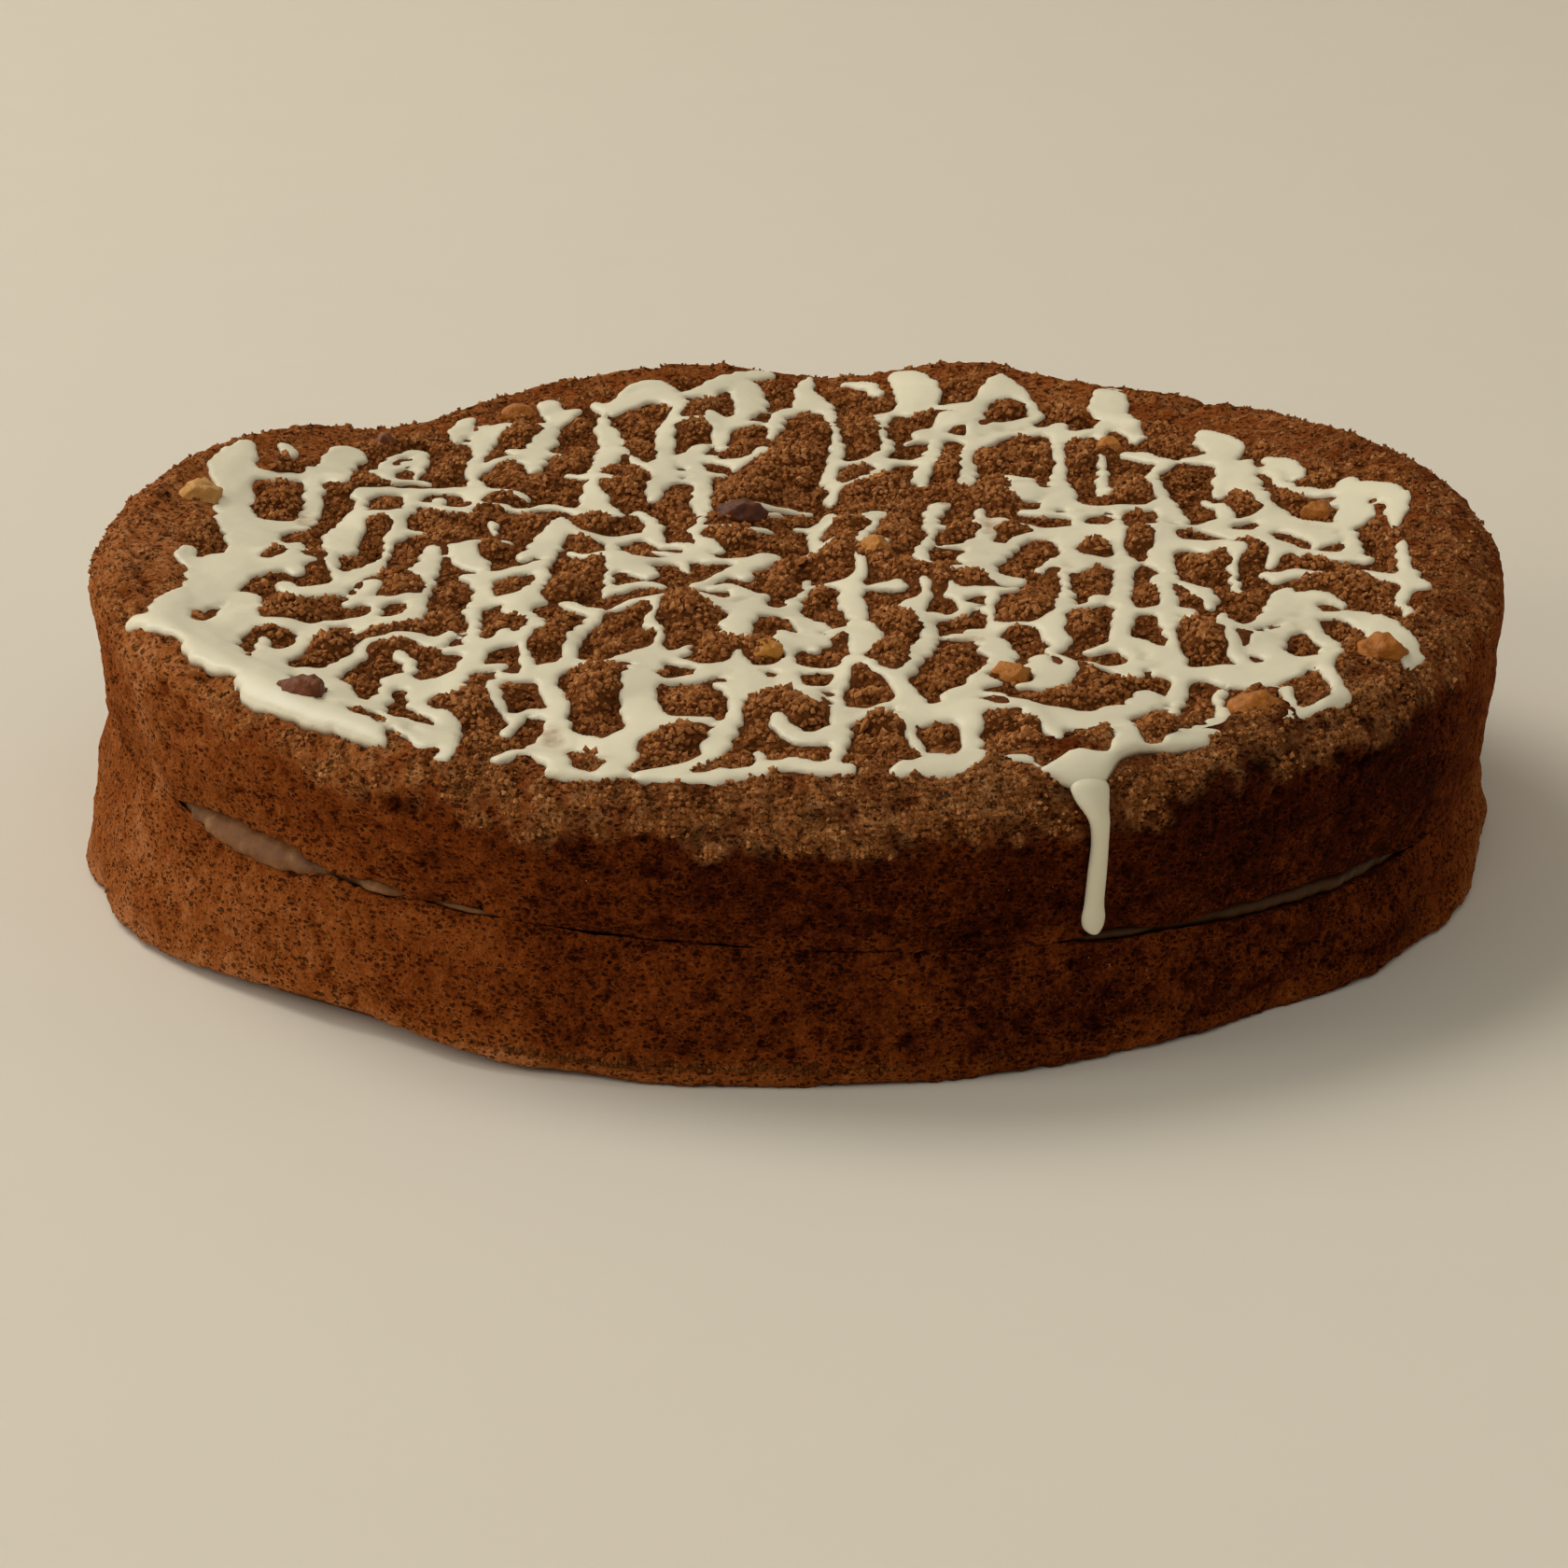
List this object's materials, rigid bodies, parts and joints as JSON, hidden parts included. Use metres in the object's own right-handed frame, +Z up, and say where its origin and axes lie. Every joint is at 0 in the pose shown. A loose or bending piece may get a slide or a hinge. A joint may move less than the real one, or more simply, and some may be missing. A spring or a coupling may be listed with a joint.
{
  "type": "cinnamon cake",
  "caption": "Round two-layer cinnamon sponge cake with a caramel filling, a crumble topping with walnut pieces and a net of white icing.",
  "frame": {"origin": "middle of the flat underside", "axes": "+Z up, -Y towards the side shown in the picture, +X to the right of it"},
  "size_m": [0.2573, 0.2558, 0.0626],
  "materials": {
    "sponge": "dry porous baked crumb, dark cinnamon brown, more orange at the foot",
    "filling": "sticky, slightly clear caramel",
    "crumble": "rough sugary granules",
    "icing": "smooth set white icing with a soft sheen",
    "walnut": "roasted nut with a thin brown skin"
  },
  "bodies": {
    "root": {"lower_sponge": "sponge", "filling": "filling", "upper_sponge": "sponge", "crumble": "crumble", "walnut_01": "walnut", "walnut_02": "walnut", "walnut_03": "walnut", "walnut_04": "walnut", "walnut_05": "walnut", "walnut_06": "walnut", "walnut_07": "walnut", "walnut_08": "walnut", "walnut_09": "walnut", "walnut_10": "walnut", "walnut_11": "walnut", "walnut_12": "walnut"}
  },
  "joints": []
}
